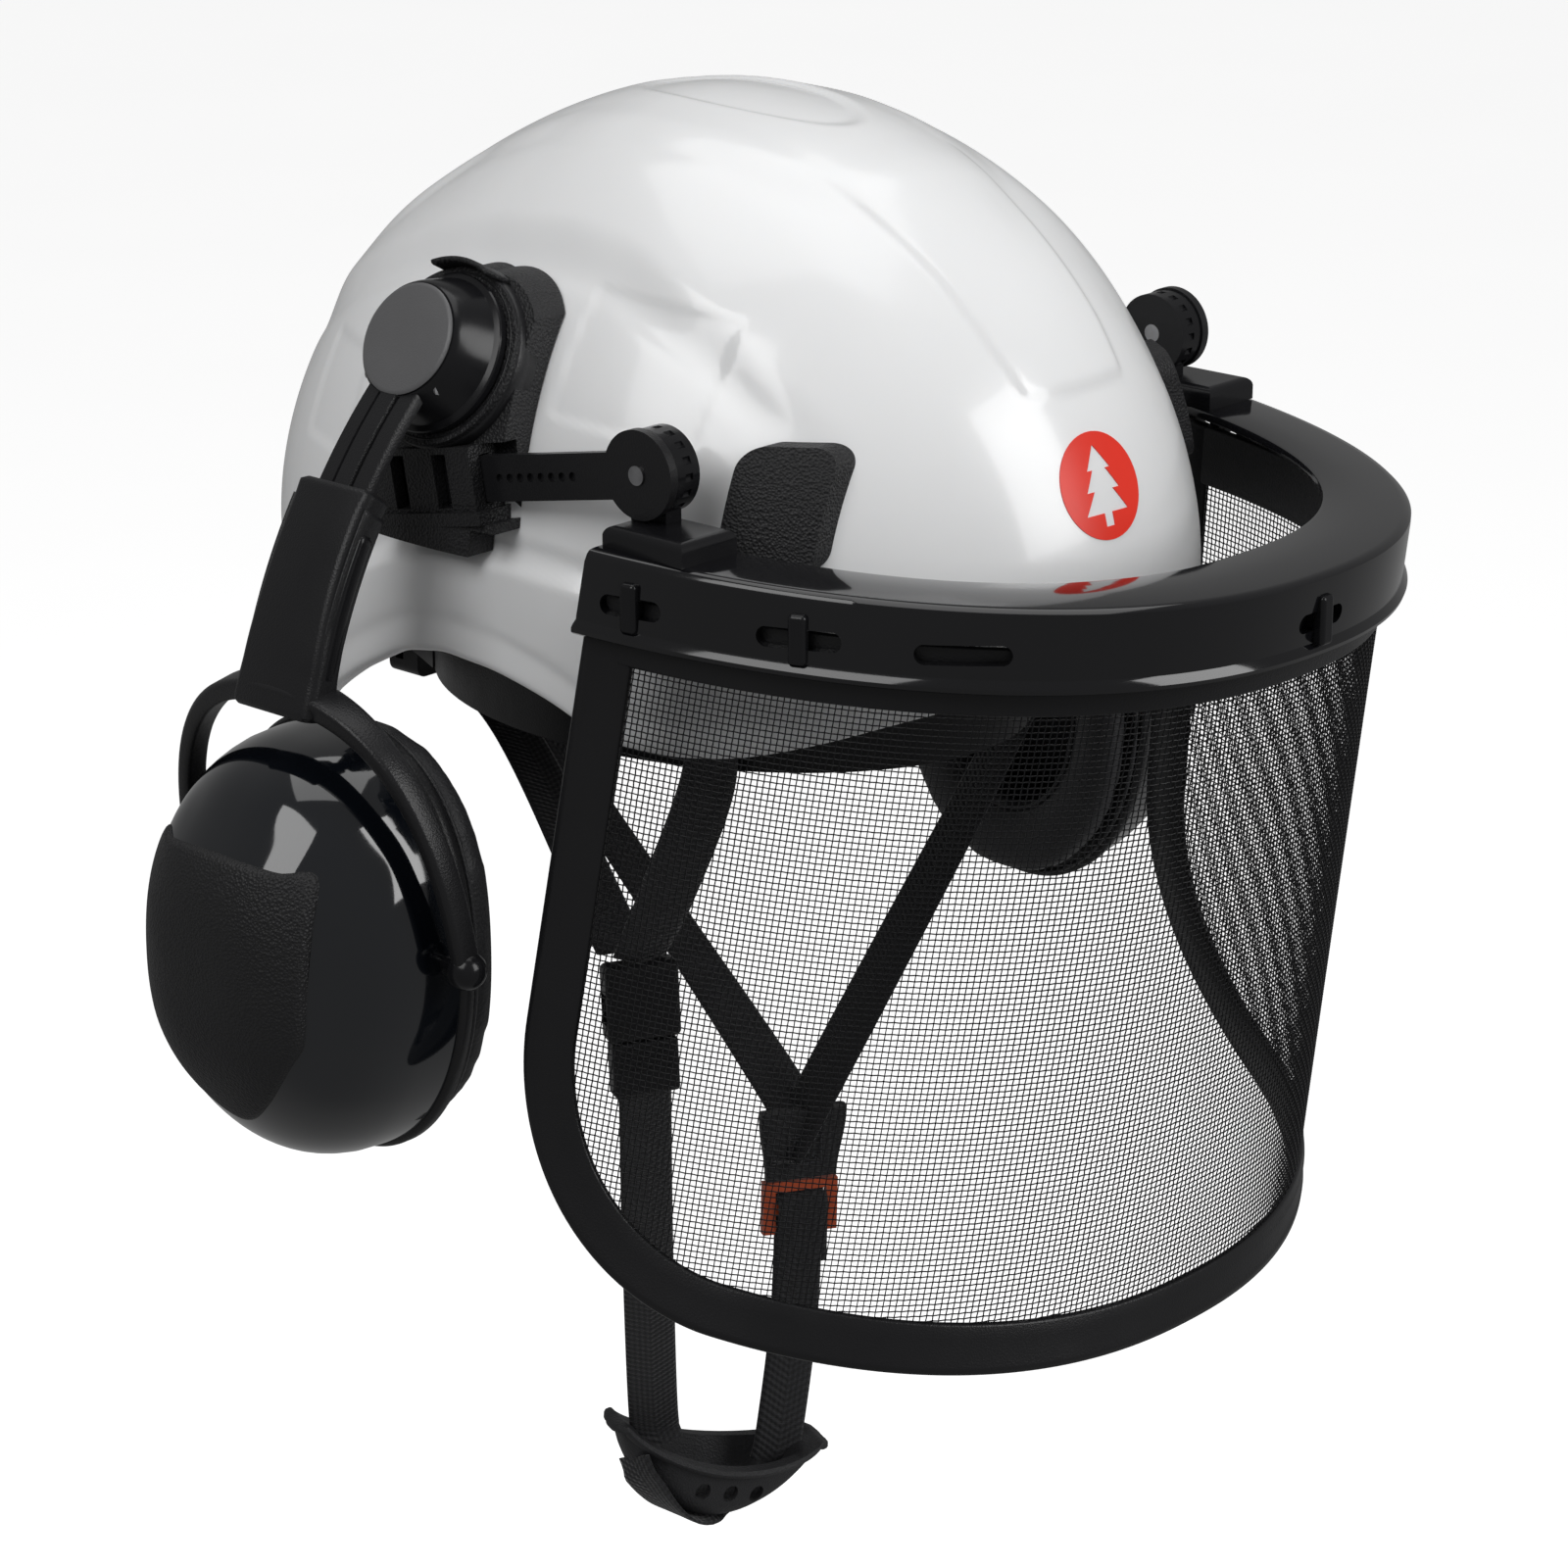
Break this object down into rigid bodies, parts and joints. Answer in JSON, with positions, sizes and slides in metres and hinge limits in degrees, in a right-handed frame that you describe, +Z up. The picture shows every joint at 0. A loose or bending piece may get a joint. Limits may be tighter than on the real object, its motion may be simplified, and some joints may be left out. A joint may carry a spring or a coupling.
{
  "type": "arborist helmet",
  "caption": "White arborist safety helmet with flip-up mesh visor, ear muffs on spring arms, headband with size knob, and a buckled harness with chin cup.",
  "frame": {"origin": "centre of the shell at brim height, where the wearer's head sits", "axes": "+Z up through the crown, -Y towards the visor and the wearer's front, -X towards the wearer's right"},
  "size_m": [0.3888, 0.3448, 0.435],
  "materials": {
    "shell_white": "gloss",
    "liner_foam": "matte",
    "cradle_webbing": "matte",
    "black_textured": "matte",
    "black_satin": "satin",
    "black_gloss": "gloss",
    "cup_gloss": "gloss",
    "hub_grey": "satin",
    "ring_black": "satin",
    "cushion_skin": "satin",
    "cup_foam": "matte",
    "pin_steel": "satin",
    "mesh_black": "satin",
    "sweatband_cloth": "matte",
    "webbing_black": "matte",
    "prong_grey": "satin",
    "slider_orange": "satin",
    "chin_rubber": "satin"
  },
  "bodies": {
    "shell_body": {"shell": "shell_white", "impact_liner": "liner_foam", "cradle_straps": "cradle_webbing", "strap_anchors": "black_textured", "nape_hanger": "black_textured", "headband": "black_satin", "sweatband": "sweatband_cloth", "nape_pad": "sweatband_cloth", "ratchet_case": "black_satin", "ratchet_cover": "black_satin", "lamp_clips": "black_textured", "mount_base_right": "black_textured", "mount_base_left": "black_textured", "rail_block_right": "black_textured", "rail_block_left": "black_textured", "hub_axles": "pin_steel", "front_strap_right": "webbing_black", "front_strap_left": "webbing_black", "rear_strap_right": "webbing_black", "rear_strap_left": "webbing_black", "buckle_socket": "black_satin", "buckle_plug": "black_satin", "chin_strap_right": "webbing_black", "chin_strap_left": "webbing_black", "strap_fold": "webbing_black", "strap_slider": "slider_orange", "chin_cup": "chin_rubber"},
    "ratchet_drive": {"ratchet_knob": "black_satin", "ratchet_pinion": "black_satin"},
    "rack_right": {"rack_tail_right": "black_satin"},
    "rack_left": {"rack_tail_left": "black_satin"},
    "visor_arm_right": {"visor_arm_right": "black_satin"},
    "visor_arm_left": {"visor_arm_left": "black_satin"},
    "visor": {"visor_carrier": "black_gloss", "visor_frame": "black_satin", "visor_mesh": "mesh_black", "visor_pegs": "black_satin", "carrier_lugs": "black_satin", "pivot_pins": "pin_steel"},
    "prong_front": {"release_prong_front": "prong_grey"},
    "prong_rear": {"release_prong_rear": "prong_grey"},
    "hub_right": {"muff_hub_right": "hub_grey", "arm_pin_right": "pin_steel"},
    "arm_right": {"muff_arm_right": "black_satin"},
    "yoke_right": {"muff_yoke_right": "black_satin"},
    "cup_right": {"cup_shell_right": "cup_gloss", "cup_badge_right": "black_textured", "cup_ring_right": "ring_black", "ear_cushion_right": "cushion_skin", "cup_foam_right": "cup_foam"},
    "hub_left": {"muff_hub_left": "hub_grey", "arm_pin_left": "pin_steel"},
    "arm_left": {"muff_arm_left": "black_satin"},
    "yoke_left": {"muff_yoke_left": "black_satin"},
    "cup_left": {"cup_shell_left": "cup_gloss", "cup_badge_left": "black_textured", "cup_ring_left": "ring_black", "ear_cushion_left": "cushion_skin", "cup_foam_left": "cup_foam"}
  },
  "joints": [
    {"name": "visor_extend", "type": "slide", "parent": "shell_body", "child": "visor_arm_right", "axis": [0, -0.9816, 0.1908], "range_m": [0, 0.012]},
    {"name": "visor_extend_left", "type": "slide", "parent": "shell_body", "child": "visor_arm_left", "axis": [0, -0.9816, 0.1908], "range_m": [0, 0.012]},
    {"name": "visor_flip", "type": "hinge", "parent": "visor_arm_right", "child": "visor", "pos_m": [0, -0.0702, 0.0514], "axis": [-1, 0, 0], "range_deg": [0, 75]},
    {"name": "size_knob", "type": "hinge", "parent": "shell_body", "child": "ratchet_drive", "pos_m": [0, 0.099, -0.04], "axis": [0, 1, 0], "range_deg": [-80, 80]},
    {"name": "rack_slide_right", "type": "slide", "parent": "shell_body", "child": "rack_right", "axis": [1, 0, 0], "range_m": [-0.006, 0.006]},
    {"name": "rack_slide_left", "type": "slide", "parent": "shell_body", "child": "rack_left", "axis": [-1, 0, 0], "range_m": [-0.006, 0.006]},
    {"name": "release_front", "type": "slide", "parent": "shell_body", "child": "prong_front", "axis": [-0.8673, 0.4969, -0.0276], "range_m": [0, 0.002], "stiffness_N_per_m": 900},
    {"name": "release_rear", "type": "slide", "parent": "shell_body", "child": "prong_rear", "axis": [0.8673, -0.4969, 0.0276], "range_m": [0, 0.002], "stiffness_N_per_m": 900},
    {"name": "muff_swivel_right", "type": "hinge", "parent": "shell_body", "child": "hub_right", "pos_m": [-0.104, 0.004, 0.069], "axis": [0.8829, 0, -0.4695], "range_deg": [0, 40]},
    {"name": "muff_swing_right", "type": "hinge", "parent": "hub_right", "child": "arm_right", "pos_m": [-0.11802, 0.004, 0.06479], "axis": [0, 1, 0], "range_deg": [-11, 12]},
    {"name": "muff_height_right", "type": "hinge", "parent": "arm_right", "child": "yoke_right", "pos_m": [-0.0134, 0.004, -0.0474], "axis": [0, 1, 0], "range_deg": [-4.5, 3]},
    {"name": "cup_tilt_right", "type": "hinge", "parent": "yoke_right", "child": "cup_right", "pos_m": [-0.1485, 0.004, -0.075], "axis": [0, 1, 0], "range_deg": [-8, 8]},
    {"name": "muff_swivel_left", "type": "hinge", "parent": "shell_body", "child": "hub_left", "pos_m": [0.104, 0.004, 0.069], "axis": [0.8829, 0, 0.4695], "range_deg": [0, 40]},
    {"name": "muff_swing_left", "type": "hinge", "parent": "hub_left", "child": "arm_left", "pos_m": [0.11802, 0.004, 0.06479], "axis": [0, -1, 0], "range_deg": [-11, 12]},
    {"name": "muff_height_left", "type": "hinge", "parent": "arm_left", "child": "yoke_left", "pos_m": [0.0134, 0.004, -0.0474], "axis": [0, -1, 0], "range_deg": [-4.5, 3]},
    {"name": "cup_tilt_left", "type": "hinge", "parent": "yoke_left", "child": "cup_left", "pos_m": [0.1485, 0.004, -0.075], "axis": [0, -1, 0], "range_deg": [-8, 8]}
  ],
  "couplings": [
    {"joint": "visor_extend_left", "follows": "visor_extend", "ratio": 1},
    {"joint": "rack_slide_right", "follows": "size_knob", "m_per_rad": 0.004},
    {"joint": "rack_slide_left", "follows": "size_knob", "m_per_rad": 0.004},
    {"joint": "release_rear", "follows": "release_front", "ratio": 1}
  ]
}
